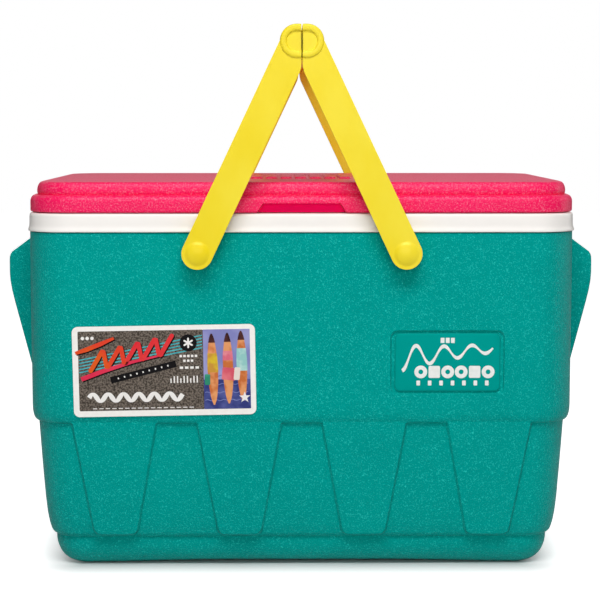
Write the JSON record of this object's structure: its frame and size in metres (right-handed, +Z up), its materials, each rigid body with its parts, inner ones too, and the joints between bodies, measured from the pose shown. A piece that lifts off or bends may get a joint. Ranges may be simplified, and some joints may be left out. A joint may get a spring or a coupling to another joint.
{
  "type": "picnic cooler",
  "caption": "Insulated hard plastic picnic cooler with a lift-off lid, side grips and two swing-over carry handles that meet above the lid.",
  "frame": {"origin": "on the floor, below the middle of the cooler", "axes": "+Z up; +X along the length, to the right seen from the front; -Y faces the front, where the label and the badge are"},
  "size_m": [0.514, 0.3308, 0.4586],
  "materials": {
    "teal_shell": "satin, fine leather grain",
    "white_liner": "smooth semi-gloss",
    "pink_lid": "satin, fine grain",
    "yellow_handle": "smooth satin",
    "foam_core": "rigid closed-cell foam",
    "printed_label": "printed film, satin",
    "badge_teal": "smooth satin with a pale print"
  },
  "bodies": {
    "body": {"body_shell": "teal_shell", "body_foam": "foam_core", "inner_liner": "white_liner", "base_fill_plug_left": "white_liner", "base_fill_plug_right": "white_liner", "front_label": "printed_label", "badge_plate": "badge_teal", "pivot_bushing_front_left": "teal_shell", "pivot_bushing_front_right": "teal_shell", "pivot_bushing_rear_left": "teal_shell", "pivot_bushing_rear_right": "teal_shell"},
    "lid": {"lid_top_shell": "pink_lid", "lid_foam": "foam_core", "lid_inner_panel": "white_liner", "lid_fill_plug": "white_liner"},
    "left_handle": {"handle_left": "yellow_handle", "pivot_stud_front_left": "yellow_handle", "pivot_stud_rear_left": "yellow_handle"},
    "right_handle": {"handle_right": "yellow_handle", "pivot_stud_front_right": "yellow_handle", "pivot_stud_rear_right": "yellow_handle"}
  },
  "joints": [
    {"name": "lid_lift", "type": "slide", "parent": "body", "child": "lid", "axis": [0, 0, 1], "range_m": [0, 0.08]},
    {"name": "left_handle_swing", "type": "hinge", "parent": "body", "child": "left_handle", "pos_m": [-0.0865, 0, 0.2705], "axis": [0, -1, 0], "range_deg": [0, 143]},
    {"name": "right_handle_swing", "type": "hinge", "parent": "body", "child": "right_handle", "pos_m": [0.0865, 0, 0.2705], "axis": [0, 1, 0], "range_deg": [0, 143]}
  ]
}
